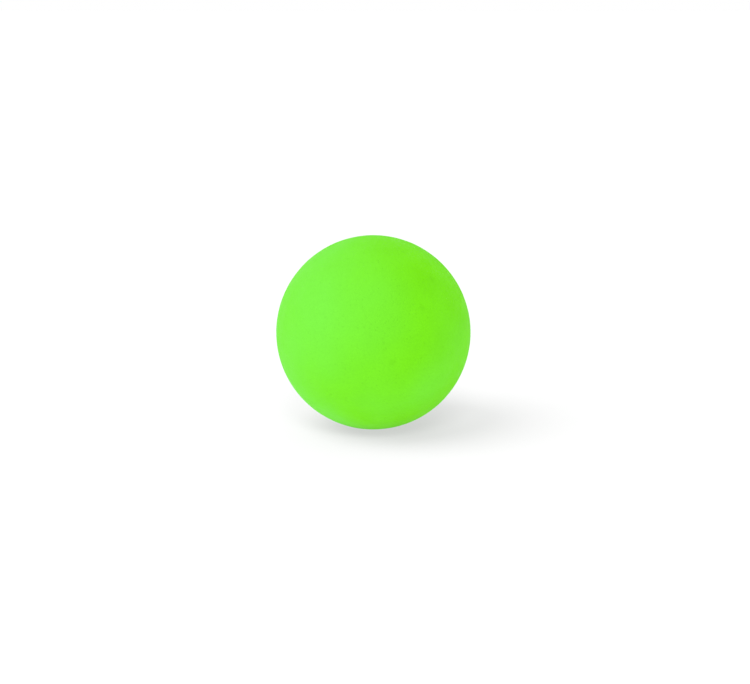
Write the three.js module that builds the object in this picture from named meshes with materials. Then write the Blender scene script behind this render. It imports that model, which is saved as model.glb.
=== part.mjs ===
// A hollow rubber bouncy ball: two moulded half shells, cemented together round pressurised air,
// with a self-sealing plug of gum rubber on the inside of the rear one.
// Millimetres, +Z up, origin at the centre of the ball. The seam is upright, in the XZ plane,
// and the rear half shell is on its +Y side.
import * as THREE from "three";

// Driving dimensions
const BALL_DIAMETER = 60;
const WALL = 4;
const CEMENT_THICKNESS = 0.3;
const RIM_CHAMFER = 0.6;
const BEAD_HEIGHT = 0.5;
const PLUG_DIAMETER = 10;
const PLUG_TOP_DIAMETER = 8.8;
const PLUG_HEIGHT = 3.2;
const PLUG_DOME = 0.6;
const PLUG_CLEARANCE = 0.3;
const RECESS_DEPTH = 1.2;
const SEAT_LAND = 3.4;

// Fineness of the faceted surfaces
const SEGMENTS_ROUND = 64;
const OUTER_STEPS = 14;
const INNER_STEPS = 10;
const BEAD_STEPS = 6;
const DOME_STEPS = 4;

const outerRadius = BALL_DIAMETER / 2;
const innerRadius = outerRadius - WALL;

// In every outline, x is the distance from the Y axis and y the place along it. The seam is at y = 0.
// The flat rims stand half a cement line from the seam's middle, chamfered on their inner edge.
const rimPlace = CEMENT_THICKNESS / 2;
const rimAngle = Math.acos(rimPlace / outerRadius);
const groovePlace = rimPlace + RIM_CHAMFER;
const grooveAngle = Math.acos(groovePlace / innerRadius);
const rimInnerEdge = new THREE.Vector2(innerRadius + RIM_CHAMFER, rimPlace);

// The plug's seat: a flat land inside the rear pole, as wide as the recess and its margin need.
const recessRadius = PLUG_DIAMETER / 2 + PLUG_CLEARANCE;
const landAngle = Math.asin((recessRadius + SEAT_LAND) / innerRadius);
const landPlace = innerRadius * Math.cos(landAngle);
const recessFloor = landPlace + RECESS_DEPTH;

// Points of an arc about the ball's centre, with its angles measured from the rear pole.
function arc(radius, from, to, steps) {
  const points = [];
  for (let i = 0; i <= steps; i++) {
    const angle = from + ((to - from) * i) / steps;
    points.push(new THREE.Vector2(radius * Math.sin(angle), radius * Math.cos(angle)));
  }
  return points;
}

// The same outline facing the other way along Y, in the order that keeps its faces outward.
function mirrored(points) {
  return points.map(({ x, y }) => new THREE.Vector2(x, -y)).reverse();
}

// A half shell behind the seam: its inner side from the axis out, the flat rim and the outer sphere.
function halfShell(innerSide) {
  return [...innerSide, rimInnerEdge, ...arc(outerRadius, rimAngle, 0, OUTER_STEPS)];
}

function frontShellOutline() {
  return mirrored(halfShell(arc(innerRadius, 0, grooveAngle, INNER_STEPS)));
}

function rearShellOutline() {
  const seat = [
    new THREE.Vector2(0, recessFloor),
    new THREE.Vector2(recessRadius, recessFloor),
    new THREE.Vector2(recessRadius, landPlace),
  ];
  return halfShell([...seat, ...arc(innerRadius, landAngle, grooveAngle, INNER_STEPS)]);
}

// The cement fills the line between the rims and the groove of their chamfers, with a bead inside.
function cementOutline() {
  const outside = arc(outerRadius, Math.PI - rimAngle, rimAngle, 2);
  const mouthRadius = innerRadius * Math.sin(grooveAngle);
  const bead = [];
  for (let i = 0; i <= BEAD_STEPS; i++) {
    const angle = (Math.PI * i) / BEAD_STEPS;
    const rise = BEAD_HEIGHT * Math.sin(angle);
    bead.push(new THREE.Vector2(mouthRadius - rise, groovePlace * Math.cos(angle)));
  }
  return [...outside, rimInnerEdge, ...bead, ...mirrored([rimInnerEdge]), outside[0]];
}

// The plug tapers from its base, at y = 0, towards the front and ends in a low dome.
function plugOutline() {
  const topRadius = PLUG_TOP_DIAMETER / 2;
  const shoulder = PLUG_HEIGHT - PLUG_DOME;
  const dome = [];
  for (let i = 0; i <= DOME_STEPS; i++) {
    const angle = ((Math.PI / 2) * (DOME_STEPS - i)) / DOME_STEPS;
    dome.push(new THREE.Vector2(topRadius * Math.sin(angle), shoulder + PLUG_DOME * Math.cos(angle)));
  }
  return mirrored([new THREE.Vector2(0, 0), new THREE.Vector2(PLUG_DIAMETER / 2, 0), ...dome]);
}

// Turns an outline round the Y axis.
function turned(name, outline, material) {
  const mesh = new THREE.Mesh(new THREE.LatheGeometry(outline, SEGMENTS_ROUND), material);
  mesh.name = name;
  return mesh;
}

function rubber(color, roughness) {
  return new THREE.MeshStandardMaterial({ color, roughness, metalness: 0 });
}

const ball = new THREE.Group();
ball.add(turned("front_half_shell", frontShellOutline(), rubber("#7ff236", 0.65)));
ball.add(turned("rear_half_shell", rearShellOutline(), rubber("#7ff236", 0.65)));
ball.add(turned("seam_cement", cementOutline(), rubber("#6fdd2c", 0.55)));

const plug = turned("inflation_plug", plugOutline(), rubber("#c8a46a", 0.5));
plug.position.y = recessFloor;
ball.add(plug);

export default ball;
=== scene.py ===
import math

import bpy
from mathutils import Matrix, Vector


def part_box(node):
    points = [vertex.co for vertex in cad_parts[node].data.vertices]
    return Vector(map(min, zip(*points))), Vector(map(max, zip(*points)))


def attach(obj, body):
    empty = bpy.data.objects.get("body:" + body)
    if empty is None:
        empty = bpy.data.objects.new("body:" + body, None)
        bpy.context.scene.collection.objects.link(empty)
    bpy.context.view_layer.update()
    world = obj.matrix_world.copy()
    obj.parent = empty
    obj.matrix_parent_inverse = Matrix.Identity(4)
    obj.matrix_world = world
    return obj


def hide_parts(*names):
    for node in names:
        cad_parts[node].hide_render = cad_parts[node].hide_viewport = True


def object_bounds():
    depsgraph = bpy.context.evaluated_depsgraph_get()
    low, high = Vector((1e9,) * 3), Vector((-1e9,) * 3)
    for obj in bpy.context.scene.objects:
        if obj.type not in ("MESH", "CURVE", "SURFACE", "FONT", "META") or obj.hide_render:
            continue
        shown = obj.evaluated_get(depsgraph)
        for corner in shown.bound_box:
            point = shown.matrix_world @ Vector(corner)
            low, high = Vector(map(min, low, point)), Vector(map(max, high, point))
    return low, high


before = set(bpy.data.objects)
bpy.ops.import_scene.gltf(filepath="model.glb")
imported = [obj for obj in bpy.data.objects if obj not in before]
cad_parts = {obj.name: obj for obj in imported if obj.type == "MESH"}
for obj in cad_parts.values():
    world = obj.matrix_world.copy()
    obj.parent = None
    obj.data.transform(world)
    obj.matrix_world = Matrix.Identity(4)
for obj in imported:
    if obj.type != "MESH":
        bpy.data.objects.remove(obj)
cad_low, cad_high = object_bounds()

# Front half shell
# One half of the ball: a bowl of neon green rubber, cured in a mould, with its rim ground flat and
# its inner rim edge chamfered. Once both halves are cemented, the whole ball is ground matte, so
# its outside has a fine even grain, a barely wavy surface and a few faint specks.
shell_low, shell_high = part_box("front_half_shell")
ball_radius = shell_high.x
rim_place = -shell_high.y
wall = 0.004
rim_chamfer = 0.0006
rim_easing = 0.00009
easing_steps = 3
waviness = 0.00003
wave_length = 0.007
skin_squares = 96
inner_rings = 24
pole_gap = math.radians(1)
crisp_angle = math.radians(40)
same_place = 0.000001
inner_radius = ball_radius - wall
groove_place = rim_place + rim_chamfer


def select_in_mesh(piece, kind, chosen):
    """Selects the verts, edges or faces of a piece whose middle is in the chosen place."""
    bpy.ops.mesh.select_mode(type=kind)
    bpy.ops.mesh.select_all(action="DESELECT")
    bpy.ops.object.mode_set(mode="OBJECT")
    mesh = piece.data
    if kind == "VERT":
        for vertex in mesh.vertices:
            vertex.select = chosen(vertex.co)
    elif kind == "EDGE":
        for edge in mesh.edges:
            ends = [mesh.vertices[i].co for i in edge.vertices]
            edge.select = all(chosen(end) for end in ends)
    else:
        for face in mesh.polygons:
            face.select = chosen(face.center)
    bpy.ops.object.mode_set(mode="EDIT")


def extend_ring(ring_radius, ring_place, new_radius, new_place):
    """Extrudes the selected ring round the Y axis to another radius and place on that axis."""
    ratio = new_radius / ring_radius
    way = (0, new_place - ring_place, 0)
    bpy.ops.mesh.extrude_edges_move(TRANSFORM_OT_translate={"value": way})
    bpy.ops.transform.resize(value=(ratio, 1, ratio), center_override=(0, new_place, 0))


def extend_along(outline):
    """Extrudes the selected ring, the first (radius, place) of an outline, through all the rest."""
    for (old_radius, old_place), (new_radius, new_place) in zip(outline, outline[1:]):
        extend_ring(old_radius, old_place, new_radius, new_place)


def apply_modifier(piece, kind, **settings):
    """Adds one modifier with these settings and applies it."""
    modifier = piece.modifiers.new(kind.lower(), kind)
    for name, value in settings.items():
        setattr(modifier, name, value)
    bpy.ops.object.modifier_apply(modifier=modifier.name)


def ball_skin(name, fine_pole_radius=0, pole_cuts=0):
    """The whole ground skin of the ball, as squares pushed out to a slightly wavy sphere.

    The squares within fine_pole_radius of the +Y pole are cut this many more times.
    """
    bpy.ops.object.select_all(action="DESELECT")
    bpy.ops.mesh.primitive_cube_add(size=2 * ball_radius)
    skin = bpy.context.object
    skin.name = name
    bpy.ops.object.mode_set(mode="EDIT")
    bpy.ops.mesh.subdivide(number_cuts=skin_squares - 1)
    if pole_cuts:
        pole = Vector((0, ball_radius, 0))
        select_in_mesh(skin, "FACE", lambda middle: (middle - pole).length < fine_pole_radius)
        bpy.ops.mesh.subdivide(number_cuts=pole_cuts)
    bpy.ops.object.mode_set(mode="OBJECT")
    apply_modifier(
        skin,
        "CAST",
        cast_type="SPHERE",
        factor=1,
        use_radius_as_size=False,
        size=ball_radius - waviness,
    )
    waves = bpy.data.textures.new(name + "_waves", "CLOUDS")
    waves.noise_scale = wave_length
    waves.noise_depth = 1
    apply_modifier(
        skin,
        "DISPLACE",
        texture=waves,
        texture_coords="LOCAL",
        mid_level=0.5,
        strength=2 * waviness,
    )
    return skin


def close_half_shell(skin, side, inner_outline):
    """Cuts the skin at the rim on this side of the seam, and adds a flat rim and the inner wall."""
    rim_middle = (0, side * rim_place, 0)
    bpy.ops.object.mode_set(mode="EDIT")
    bpy.ops.mesh.select_all(action="SELECT")
    bpy.ops.mesh.bisect(plane_co=rim_middle, plane_no=(0, -side, 0), clear_outer=True)
    rim_radius = math.sqrt(ball_radius**2 - rim_place**2) - waviness
    rim = [(rim_radius, side * rim_place), (inner_radius + rim_chamfer, side * rim_place)]
    extend_along(rim + [(radius, side * place) for radius, place in inner_outline])
    bpy.ops.mesh.merge(type="CENTER")
    bpy.ops.mesh.select_all(action="SELECT")
    bpy.ops.mesh.normals_make_consistent(inside=False)
    near_rim = rim_radius - 2 * waviness
    select_in_mesh(
        skin,
        "EDGE",
        lambda end: abs(end.y - rim_middle[1]) < same_place and math.hypot(end.x, end.z) > near_rim,
    )
    bpy.ops.mesh.bevel(offset=rim_easing, segments=easing_steps)
    bpy.ops.object.mode_set(mode="OBJECT")
    bpy.ops.object.shade_smooth_by_angle(angle=crisp_angle)


def inner_arc(end_angle):
    """Each (radius, place) of the inner wall, from the rim's chamfer to this angle off the pole."""
    rim_angle = math.acos(groove_place / inner_radius)
    points = []
    for ring in range(inner_rings + 1):
        angle = rim_angle + (end_angle - rim_angle) * ring / inner_rings
        points.append((inner_radius * math.sin(angle), inner_radius * math.cos(angle)))
    return points


front_shell = ball_skin("front_shell")
close_half_shell(front_shell, -1, inner_arc(pole_gap))


def new_group(name, inputs, outputs):
    """A shader node group with named sockets. Returns it with its input and its output node."""
    group = bpy.data.node_groups.new(name, "ShaderNodeTree")
    for direction, sockets in (("INPUT", inputs), ("OUTPUT", outputs)):
        for socket_name, socket_type in sockets:
            group.interface.new_socket(socket_name, in_out=direction, socket_type=socket_type)
    return group, group.nodes.new("NodeGroupInput"), group.nodes.new("NodeGroupOutput")


def noise_node(nodes, scale):
    """A soft noise texture with about this many spots to a metre."""
    noise = nodes.new("ShaderNodeTexNoise")
    noise.inputs["Scale"].default_value = scale
    noise.inputs["Detail"].default_value = 1
    return noise


def spread_node(nodes, low, high, new_low, new_high):
    """A map range node that spreads one range over another."""
    spread = nodes.new("ShaderNodeMapRange")
    spread.inputs["From Min"].default_value = low
    spread.inputs["From Max"].default_value = high
    spread.inputs["To Min"].default_value = new_low
    spread.inputs["To Max"].default_value = new_high
    return spread


def noise_spread_node(nodes, new_low, new_high):
    """A map range node that spreads the range that noise mostly fills over another."""
    noise_low = 0.3
    noise_high = 0.7
    return spread_node(nodes, noise_low, noise_high, new_low, new_high)


# Pigment that isn't quite evenly milled in: broad soft patches of a deeper colour, and a fine
# mottling.
patch_scale = 110
deepest_patch = 0.65
mottling_scale = 1500
deepest_mottling = 0.35
pigment, pigment_in, pigment_out = new_group(
    "pigment",
    [
        ("Vector", "NodeSocketVector"),
        ("Colour", "NodeSocketColor"),
        ("Deeper Colour", "NodeSocketColor"),
    ],
    [("Colour", "NodeSocketColor")],
)
patches = noise_node(pigment.nodes, patch_scale)
mottling = noise_node(pigment.nodes, mottling_scale)
mottling_share = noise_spread_node(pigment.nodes, 0, deepest_mottling)
patch_share = noise_spread_node(pigment.nodes, 0, deepest_patch)
both_shares = pigment.nodes.new("ShaderNodeMath")
pigment_mix = pigment.nodes.new("ShaderNodeMix")
pigment_mix.data_type = "RGBA"
pigment.links.new(pigment_in.outputs["Vector"], patches.inputs["Vector"])
pigment.links.new(pigment_in.outputs["Vector"], mottling.inputs["Vector"])
pigment.links.new(patches.outputs["Fac"], patch_share.inputs["Value"])
pigment.links.new(mottling.outputs["Fac"], mottling_share.inputs["Value"])
pigment.links.new(patch_share.outputs["Result"], both_shares.inputs[0])
pigment.links.new(mottling_share.outputs["Result"], both_shares.inputs[1])
pigment.links.new(both_shares.outputs["Value"], pigment_mix.inputs["Factor"])
pigment.links.new(pigment_in.outputs["Colour"], pigment_mix.inputs["A"])
pigment.links.new(pigment_in.outputs["Deeper Colour"], pigment_mix.inputs["B"])
pigment.links.new(pigment_mix.outputs["Result"], pigment_out.inputs["Colour"])

# The skin that grinding or moulding leaves on rubber: a fine grain, and spots that are smoother or
# rougher than the rest, with tiny pores that are larger where it is rough.
coarse_grain_scale = 900
fine_grain_scale = 3200
polish_scale = 260
pore_spacing = 0.0009
smallest_pore = 0.00005
largest_pore = 0.00024
skin_grain, grain_in, grain_out = new_group(
    "skin grain",
    [
        ("Vector", "NodeSocketVector"),
        ("Smoothest", "NodeSocketFloat"),
        ("Roughest", "NodeSocketFloat"),
    ],
    [
        ("Height", "NodeSocketFloat"),
        ("Roughness", "NodeSocketFloat"),
        ("Pores", "NodeSocketFloat"),
    ],
)
coarse_grain = noise_node(skin_grain.nodes, coarse_grain_scale)
fine_grain = noise_node(skin_grain.nodes, fine_grain_scale)
pore_cells = skin_grain.nodes.new("ShaderNodeTexVoronoi")
pore_cells.inputs["Scale"].default_value = 1 / pore_spacing
polish = noise_node(skin_grain.nodes, polish_scale)
pore_reach = noise_spread_node(
    skin_grain.nodes, smallest_pore / pore_spacing, largest_pore / pore_spacing
)
pore_mask = spread_node(skin_grain.nodes, 0, 1, 1, 0)
grain_sum = skin_grain.nodes.new("ShaderNodeMath")
grain_height = skin_grain.nodes.new("ShaderNodeMath")
grain_height.operation = "SUBTRACT"
roughness_range = noise_spread_node(skin_grain.nodes, 0, 1)
for grain_texture in (coarse_grain, fine_grain, pore_cells, polish):
    skin_grain.links.new(grain_in.outputs["Vector"], grain_texture.inputs["Vector"])
skin_grain.links.new(coarse_grain.outputs["Fac"], grain_sum.inputs[0])
skin_grain.links.new(fine_grain.outputs["Fac"], grain_sum.inputs[1])
skin_grain.links.new(polish.outputs["Fac"], pore_reach.inputs["Value"])
skin_grain.links.new(pore_cells.outputs["Distance"], pore_mask.inputs["Value"])
skin_grain.links.new(pore_reach.outputs["Result"], pore_mask.inputs["From Max"])
skin_grain.links.new(pore_mask.outputs["Result"], grain_out.inputs["Pores"])
skin_grain.links.new(grain_sum.outputs["Value"], grain_height.inputs[0])
skin_grain.links.new(pore_mask.outputs["Result"], grain_height.inputs[1])
skin_grain.links.new(grain_height.outputs["Value"], grain_out.inputs["Height"])
skin_grain.links.new(polish.outputs["Fac"], roughness_range.inputs["Value"])
skin_grain.links.new(grain_in.outputs["Smoothest"], roughness_range.inputs["To Min"])
skin_grain.links.new(grain_in.outputs["Roughest"], roughness_range.inputs["To Max"])
skin_grain.links.new(roughness_range.outputs["Result"], grain_out.inputs["Roughness"])


def rubber_material(name, colour, deeper_colour, smoothest, roughest, grain_depth, gloss):
    """A rubber with its own pigment and grain.

    Smoothest and roughest are the ends of its roughness. Gloss is its specular level, where 0.5 is
    that of plain plastic.
    """
    pore_shade = 0.32
    pore_shade_darkness = 0.8
    bump_strength = 0.8
    material = bpy.data.materials.new(name)
    material.use_nodes = True
    nodes, links = material.node_tree.nodes, material.node_tree.links
    shader = nodes["Principled BSDF"]
    shader.inputs["Specular IOR Level"].default_value = gloss
    place = nodes.new("ShaderNodeTexCoord")
    colour_group = nodes.new("ShaderNodeGroup")
    colour_group.node_tree = pigment
    colour_group.inputs["Colour"].default_value = (*colour, 1)
    colour_group.inputs["Deeper Colour"].default_value = (*deeper_colour, 1)
    grain_group = nodes.new("ShaderNodeGroup")
    grain_group.node_tree = skin_grain
    grain_group.inputs["Smoothest"].default_value = smoothest
    grain_group.inputs["Roughest"].default_value = roughest
    # Painted shade: the base colour is darkened in the pores, the tiny dents of the grain.
    pore_share = spread_node(nodes, 0, 1, 0, pore_shade)
    pore_shade_mix = nodes.new("ShaderNodeMix")
    pore_shade_mix.data_type = "RGBA"
    pore_shade_mix.inputs["B"].default_value = (*[pore_shade_darkness * part for part in deeper_colour], 1)
    bump = nodes.new("ShaderNodeBump")
    bump.inputs["Strength"].default_value = bump_strength
    bump.inputs["Distance"].default_value = grain_depth
    links.new(place.outputs["Object"], colour_group.inputs["Vector"])
    links.new(place.outputs["Object"], grain_group.inputs["Vector"])
    links.new(grain_group.outputs["Pores"], pore_share.inputs["Value"])
    links.new(pore_share.outputs["Result"], pore_shade_mix.inputs["Factor"])
    links.new(colour_group.outputs["Colour"], pore_shade_mix.inputs["A"])
    links.new(pore_shade_mix.outputs["Result"], shader.inputs["Base Color"])
    links.new(grain_group.outputs["Roughness"], shader.inputs["Roughness"])
    links.new(grain_group.outputs["Height"], bump.inputs["Height"])
    links.new(bump.outputs["Normal"], shader.inputs["Normal"])
    return material


yellow_green = (0.213, 0.905, 0.001)
deeper_yellow_green = (0.192, 0.840, 0.001)
# Painted sheen: a paler, cooler green that stands in for the key lamp's sheen and for reflection.
painted_sheen_green = (0.208, 0.905, 0.057)
painted_sheen_full_x = -0.60 * ball_radius
painted_sheen_end_x = 0.62 * ball_radius
undertone_drift = 0.16
drift_scale = 45
# Each patch has its middle, its radius and how much painted sheen it adds, paler and cooler,
# less than 0 where it takes painted sheen away and is yellower.
painted_sheen_patches = (
    ((0.0158, -0.0220, -0.0128), 0.014, 0.60),
    ((0.0228, -0.0190, -0.0036), 0.016, 0.37),
    ((-0.0133, -0.0243, -0.0116), 0.020, -0.55),
    ((-0.0040, -0.0196, -0.0223), 0.011, -0.35),
)
speck_green = (0.120, 0.560, 0.004)
speck_share = 0.20
speck_radius = 0.0017
front_specks = ((0.0144, 0.0125), (0.0175, 0.0195), (0.0057, -0.0024))
green_rubber = rubber_material(
    "ground_green_rubber",
    yellow_green,
    deeper_yellow_green,
    smoothest=0.60,
    roughest=0.72,
    grain_depth=0.00014,
    gloss=0.11,
)

# Painted sheen: the base colour drifts across the ball from a paler, cooler green on the -X side,
# where the key lamp's sheen is painted in, to a yellower one on the +X side, with a random drift.
# Low down are cool patches of painted reflection on the yellower side and yellow ones on the
# cooler side, which take the painted sheen away there.
green_nodes, green_links = green_rubber.node_tree.nodes, green_rubber.node_tree.links
green_shader = green_nodes["Principled BSDF"]
green_colour = green_shader.inputs["Base Color"].links[0].from_socket
green_place = green_nodes.new("ShaderNodeTexCoord").outputs["Object"]
green_axes = green_nodes.new("ShaderNodeSeparateXYZ")
# Painted sheen: whole on the -X side and fading out towards +X.
painted_sheen_side_share = spread_node(green_nodes, painted_sheen_full_x, painted_sheen_end_x, 1, 0)
painted_sheen_side_share.interpolation_type = "SMOOTHSTEP"
drift = noise_node(green_nodes, drift_scale)
drift_share = noise_spread_node(green_nodes, -undertone_drift, undertone_drift)
green_links.new(green_place, green_axes.inputs["Vector"])
green_links.new(green_axes.outputs["X"], painted_sheen_side_share.inputs["Value"])
green_links.new(green_place, drift.inputs["Vector"])
green_links.new(drift.outputs["Fac"], drift_share.inputs["Value"])


def sum_of(first, second):
    """The socket that holds the sum of two value sockets of the green rubber."""
    total = green_nodes.new("ShaderNodeMath")
    green_links.new(first, total.inputs[0])
    green_links.new(second, total.inputs[1])
    return total.outputs["Value"]


def fade_from(point, radius, share):
    """The socket of a share that is whole at one point and fades to 0 at this radius round it."""
    reach = green_nodes.new("ShaderNodeVectorMath")
    reach.operation = "DISTANCE"
    reach.inputs[1].default_value = point
    fade = spread_node(green_nodes, 0, radius, share, 0)
    fade.interpolation_type = "SMOOTHSTEP"
    green_links.new(green_place, reach.inputs[0])
    green_links.new(reach.outputs["Value"], fade.inputs["Value"])
    return fade.outputs["Result"]


painted_sheen_and_drift_share = sum_of(painted_sheen_side_share.outputs["Result"], drift_share.outputs["Result"])
for patch_middle, patch_radius, patch_sheen in painted_sheen_patches:
    painted_sheen_and_drift_share = sum_of(painted_sheen_and_drift_share, fade_from(patch_middle, patch_radius, patch_sheen))
# This mix paints the sheen and the reflection into the base colour.
painted_sheen_mix = green_nodes.new("ShaderNodeMix")
painted_sheen_mix.data_type = "RGBA"
painted_sheen_mix.inputs["B"].default_value = (*painted_sheen_green, 1)
green_links.new(painted_sheen_and_drift_share, painted_sheen_mix.inputs["Factor"])
green_links.new(green_colour, painted_sheen_mix.inputs["A"])
green_links.new(painted_sheen_mix.outputs["Result"], green_shader.inputs["Base Color"])


def add_spot(point, radius, share):
    """Darkens the green rubber round one point, most in the middle."""
    below = green_shader.inputs["Base Color"].links[0].from_socket
    spot_mix = green_nodes.new("ShaderNodeMix")
    spot_mix.data_type = "RGBA"
    spot_mix.inputs["B"].default_value = (*speck_green, 1)
    green_links.new(fade_from(point, radius, share), spot_mix.inputs["Factor"])
    green_links.new(below, spot_mix.inputs["A"])
    green_links.new(spot_mix.outputs["Result"], green_shader.inputs["Base Color"])


def add_specks(places, side):
    """Faint specks at these (x, z), where a darker grain of pigment lies just under the surface."""
    for x, z in places:
        y = side * math.sqrt(ball_radius**2 - x**2 - z**2)
        add_spot((x, y, z), speck_radius, speck_share)


add_specks(front_specks, -1)
front_shell.data.materials.append(green_rubber)
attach(front_shell, "root")
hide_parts("front_half_shell")

# Rear half shell
# The other half, pressed in the same rubber and ground with it. Its inside has a flat land with a
# round recess for the plug. Outside, at the pole, is the closed prick of the needle that filled the
# ball.
plug_recess_radius = 0.0053
plug_recess_depth = 0.0012
seat_land = 0.0034
needle_mark_radius = 0.0012
needle_mark_depth = 0.00030
prick_radius = 0.00055
prick_share = 0.9
rear_specks = ((0.0121, 0.0204), (-0.0172, 0.0035), (-0.0048, -0.0182), (0.0206, -0.0071))
fine_pole_radius = 0.0035
pole_cuts = 4
needle_tip_radius = 0.0002
land_radius = plug_recess_radius + seat_land
land_angle = math.asin(land_radius / inner_radius)
land_place = inner_radius * math.cos(land_angle)
recess_floor = land_place + plug_recess_depth
hub_radius = 0.0004

seat_outline = [
    (plug_recess_radius, land_place),
    (plug_recess_radius, recess_floor),
    (hub_radius, recess_floor),
]
rear_shell = ball_skin("rear_shell", fine_pole_radius, pole_cuts)
close_half_shell(rear_shell, 1, inner_arc(land_angle) + seat_outline)
bpy.ops.object.mode_set(mode="EDIT")
outer_pole = Vector((0, ball_radius, 0))
select_in_mesh(rear_shell, "VERT", lambda point: (point - outer_pole).length < needle_tip_radius)
bpy.ops.transform.translate(
    value=(0, -needle_mark_depth, 0),
    use_proportional_edit=True,
    proportional_size=needle_mark_radius,
    proportional_edit_falloff="SMOOTH",
)
bpy.ops.object.mode_set(mode="OBJECT")
add_specks(rear_specks, 1)
add_spot((0, ball_radius - needle_mark_depth, 0), prick_radius, prick_share)
rear_shell.data.materials.append(green_rubber)
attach(rear_shell, "root")
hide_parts("rear_half_shell")

# Seam cement
# Rubber cement, tinted like the shells, brushed on both rims and cured under pressure. It fills the
# line between them and the groove of their chamfers, with a bead inside, and is ground almost flush
# outside.
cement_sink = 0.00004
bead_height = 0.0005
bead_steps = 12
ring_points = 4 * skin_squares
outer_cement_radius = ball_radius - waviness - cement_sink
rim_inner_radius = inner_radius + rim_chamfer
mouth_radius = math.sqrt(inner_radius**2 - groove_place**2)

bpy.ops.object.select_all(action="DESELECT")
bpy.ops.mesh.primitive_circle_add(
    vertices=ring_points, radius=outer_cement_radius, rotation=(math.pi / 2, 0, 0)
)
cement = bpy.context.object
cement.name = "cement_line"
bpy.ops.object.transform_apply(location=False, rotation=True, scale=False)
bpy.ops.object.mode_set(mode="EDIT")
bpy.ops.mesh.select_all(action="SELECT")
bpy.ops.transform.translate(value=(0, -rim_place, 0))
bead = []
for step in range(bead_steps + 1):
    angle = math.pi * step / bead_steps
    bead.append((mouth_radius - bead_height * math.sin(angle), groove_place * math.cos(angle)))
extend_along(
    [
        (outer_cement_radius, -rim_place),
        (outer_cement_radius, rim_place),
        (rim_inner_radius, rim_place),
        *bead,
        (rim_inner_radius, -rim_place),
        (outer_cement_radius, -rim_place),
    ]
)
bpy.ops.mesh.select_all(action="SELECT")
bpy.ops.mesh.remove_doubles(threshold=same_place)
bpy.ops.mesh.normals_make_consistent(inside=False)
bpy.ops.object.mode_set(mode="OBJECT")
bpy.ops.object.shade_smooth_by_angle(angle=crisp_angle)

cement_green = (0.172, 0.750, 0.010)
deeper_cement_green = (0.150, 0.670, 0.008)
cement_rubber = rubber_material(
    "tinted_cement",
    cement_green,
    deeper_cement_green,
    smoothest=0.50,
    roughest=0.62,
    grain_depth=0.00004,
    gloss=0.15,
)
cement.data.materials.append(cement_rubber)
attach(cement, "root")
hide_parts("seam_cement")

# Inflation plug
# A tapered button of soft, unfilled gum rubber, cemented into the recess of the rear half shell.
# The filling needle goes through wall and plug, and the gum closes behind it, which leaves a small
# pucker.
plug_low, plug_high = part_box("inflation_plug")
plug_radius = plug_high.x
plug_top_radius = 0.0044
plug_dome = 0.0006
plug_crisp_angle = math.radians(35)
plug_ring_points = 96
dome_rings = 8
pucker_depth = 0.0002
shoulder = plug_low.y + plug_dome

bpy.ops.object.select_all(action="DESELECT")
bpy.ops.mesh.primitive_circle_add(
    vertices=plug_ring_points,
    radius=plug_radius,
    fill_type="NGON",
    location=(0, plug_high.y, 0),
    rotation=(math.pi / 2, 0, 0),
)
plug = bpy.context.object
plug.name = "needle_plug"
bpy.ops.object.transform_apply(location=True, rotation=True, scale=False)
bpy.ops.object.mode_set(mode="EDIT")
select_in_mesh(plug, "EDGE", lambda end: True)
plug_outline = [(plug_radius, plug_high.y), (plug_top_radius, shoulder)]
for ring in range(1, dome_rings + 1):
    angle = math.pi / 2 * (1 - ring / (dome_rings + 1))
    plug_outline.append((plug_top_radius * math.sin(angle), shoulder - plug_dome * math.cos(angle)))
extend_along(plug_outline)
bpy.ops.mesh.merge(type="CENTER")
bpy.ops.transform.translate(value=(0, pucker_depth, 0))
bpy.ops.mesh.select_all(action="SELECT")
bpy.ops.mesh.normals_make_consistent(inside=False)
bpy.ops.object.mode_set(mode="OBJECT")
bpy.ops.object.shade_smooth_by_angle(angle=plug_crisp_angle)

amber = (0.578, 0.371, 0.144)
deeper_amber = (0.480, 0.290, 0.095)
gum_rubber = rubber_material(
    "amber_gum_rubber",
    amber,
    deeper_amber,
    smoothest=0.35,
    roughest=0.50,
    grain_depth=0.00003,
    gloss=0.5,
)
plug.data.materials.append(gum_rubber)
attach(plug, "root")
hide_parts("inflation_plug")

# Studio
# A white light table under a white surround, with one large soft key lamp from the front left.
# Three lamps light the table alone, so that the ball's shadow stays grey beside its green light.
floor_half = 3.0
table_grey = (0.06, 0.06, 0.06)
table_glow = 0.602
surround_light = 0.80

bpy.ops.object.select_all(action="DESELECT")
bpy.ops.mesh.primitive_plane_add(size=2 * floor_half, location=(0, 0, cad_low.z))
table = bpy.context.object
table.name = "light_table"
table_material = bpy.data.materials.new("light_table")
table_material.use_nodes = True
table_nodes, table_links = table_material.node_tree.nodes, table_material.node_tree.links
table_nodes.remove(table_nodes["Principled BSDF"])
table_diffuse = table_nodes.new("ShaderNodeBsdfDiffuse")
table_diffuse.inputs["Color"].default_value = (*table_grey, 1)
table_emission = table_nodes.new("ShaderNodeEmission")
table_emission.inputs["Strength"].default_value = table_glow
table_sum = table_nodes.new("ShaderNodeAddShader")
table_links.new(table_diffuse.outputs["BSDF"], table_sum.inputs[0])
table_links.new(table_emission.outputs["Emission"], table_sum.inputs[1])
table_links.new(table_sum.outputs["Shader"], table_nodes["Material Output"].inputs["Surface"])
table.data.materials.append(table_material)

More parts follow.
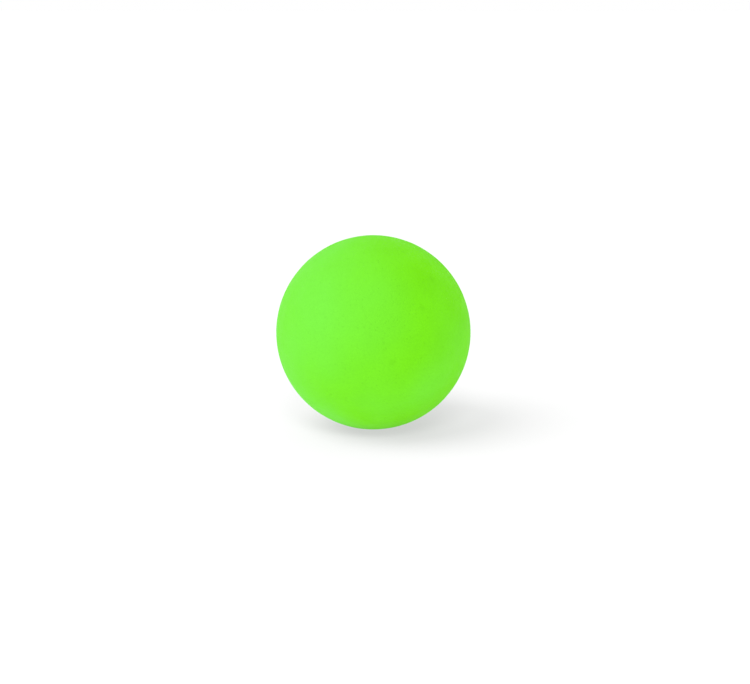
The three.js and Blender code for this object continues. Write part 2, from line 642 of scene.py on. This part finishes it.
world = bpy.data.worlds.new("white_surround")
bpy.context.scene.world = world
world.use_nodes = True
world_nodes, world_links = world.node_tree.nodes, world.node_tree.links
surround = world_nodes["Background"]
surround.inputs["Color"].default_value = (1, 1, 1, 1)
path = world_nodes.new("ShaderNodeLightPath")
camera_or_gloss = world_nodes.new("ShaderNodeMath")
camera_or_gloss.operation = "MAXIMUM"
surround_seen = world_nodes.new("ShaderNodeMath")
surround_seen.operation = "MAXIMUM"
surround_strength = spread_node(world_nodes, 0, 1, surround_light, 1)
world_links.new(path.outputs["Is Camera Ray"], camera_or_gloss.inputs[0])
world_links.new(path.outputs["Is Glossy Ray"], camera_or_gloss.inputs[1])
world_links.new(camera_or_gloss.outputs["Value"], surround_seen.inputs[0])
world_links.new(path.outputs["Is Transmission Ray"], surround_seen.inputs[1])
world_links.new(surround_seen.outputs["Value"], surround_strength.inputs["Value"])
world_links.new(surround_strength.outputs["Result"], surround.inputs["Strength"])


def soft_lamp(name, azimuth, elevation, angular_size, irradiance):
    """A wide soft lamp, far off in this direction. An irradiance of 1 shows a white card white."""
    azimuth = math.radians(azimuth)
    elevation = math.radians(elevation)
    direction = Vector(
        (
            math.cos(elevation) * math.cos(azimuth),
            math.cos(elevation) * math.sin(azimuth),
            math.sin(elevation),
        )
    )
    bpy.ops.object.light_add(type="SUN", location=direction)
    lamp = bpy.context.object
    lamp.name = name
    lamp.data.angle = math.radians(angular_size)
    lamp.data.energy = math.pi * irradiance
    lamp.rotation_euler = direction.to_track_quat("Z", "Y").to_euler()
    return lamp


table_only = bpy.data.collections.new("table_only")
table_only.objects.link(table)
soft_lamp("key_softbox", azimuth=226, elevation=50, angular_size=65, irradiance=0.215)
table_key = soft_lamp("table_key", azimuth=202, elevation=50, angular_size=52, irradiance=3.9)
table_back_light = soft_lamp(
    "table_back_light", azimuth=121, elevation=58, angular_size=112, irradiance=2.6
)
table_front_light = soft_lamp(
    "table_front_light", azimuth=274, elevation=41, angular_size=24, irradiance=2.3
)
for table_lamp in (table_key, table_back_light, table_front_light):
    table_lamp.light_linking.receiver_collection = table_only

# Camera
# It looks along +Y from 13 degrees above the table, with the ball where the photograph has it: its
# centre at these pixels of the 750 by 684 frame, and its outline of this mean radius in pixels.
frame_width = 750
frame_height = 684
ball_pixel_x = 373.4
ball_pixel_y = 332.3
ball_pixel_radius = 97.3
view_elevation = math.radians(13)
lens = 85
sensor = 36
pixels_per_tangent = lens / sensor * frame_width
camera_distance = ball_radius / math.sin(math.atan(ball_pixel_radius / pixels_per_tangent))
metres_per_pixel = camera_distance / pixels_per_tangent
view_back = Vector((0, -math.cos(view_elevation), math.sin(view_elevation)))
view_up = Vector((0, math.sin(view_elevation), math.cos(view_elevation)))
aim_right = (frame_width / 2 - ball_pixel_x) * metres_per_pixel
aim_down = (frame_height / 2 - ball_pixel_y) * metres_per_pixel
camera_place = view_back * camera_distance + Vector((aim_right, 0, 0)) - view_up * aim_down
bpy.ops.object.camera_add(location=camera_place, rotation=(math.pi / 2 - view_elevation, 0, 0))
camera = bpy.context.object
camera.data.lens = lens
camera.data.sensor_width = sensor
bpy.context.scene.camera = camera
bpy.context.scene.view_settings.view_transform = "Standard"
